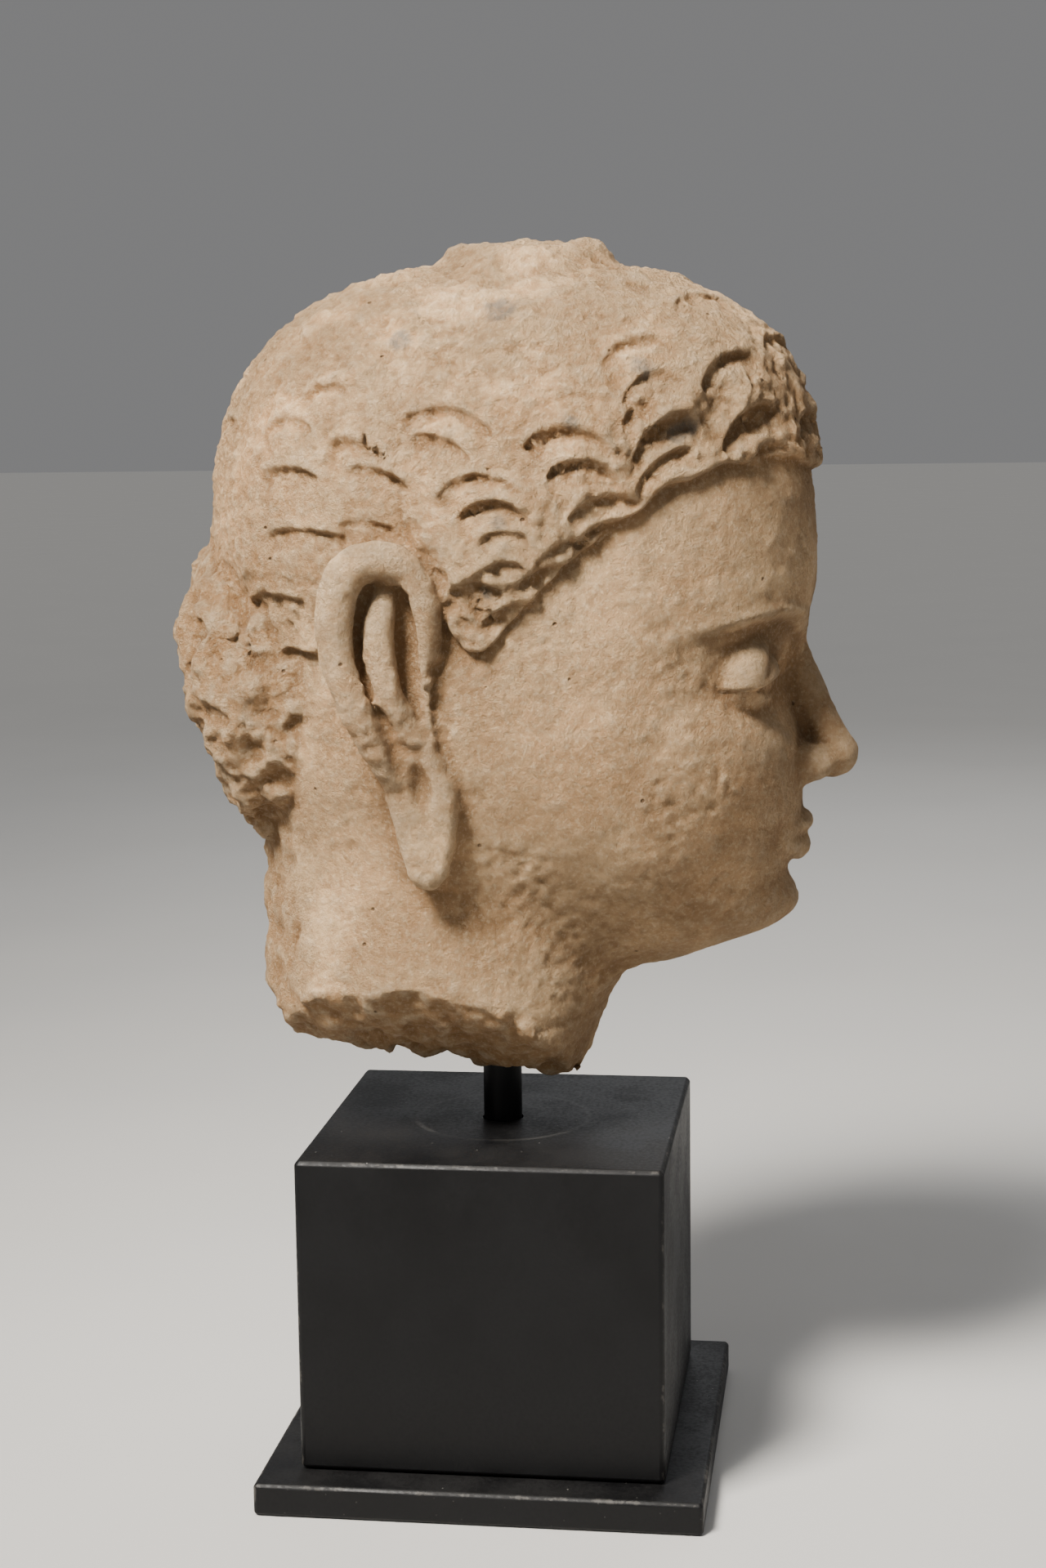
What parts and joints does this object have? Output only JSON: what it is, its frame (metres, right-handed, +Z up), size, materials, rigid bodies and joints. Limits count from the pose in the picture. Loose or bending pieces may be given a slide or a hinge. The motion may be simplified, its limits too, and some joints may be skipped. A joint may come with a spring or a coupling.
{
  "type": "buddha head",
  "caption": "Stucco head of a Buddha with arched locks, long ears, a rough crust behind and a broken neck, held on a rod over a black square plinth.",
  "frame": {"origin": "middle of the base plate's underside", "axes": "+Z up, the face looks along -Y, the head's right side is towards -X"},
  "size_m": [0.1478, 0.2037, 0.3743],
  "materials": {
    "stucco": "dry sandy stucco, unglazed, worn and pitted",
    "rod_black": "satin black paint on steel",
    "plinth_black": "satin black paint, edges slightly worn, dusty",
    "plate_black": "satin black paint, edges slightly worn, dusty"
  },
  "bodies": {
    "root": {"head": "stucco", "mounting_rod": "rod_black", "plinth_block": "plinth_black", "base_plate": "plate_black"}
  },
  "joints": []
}
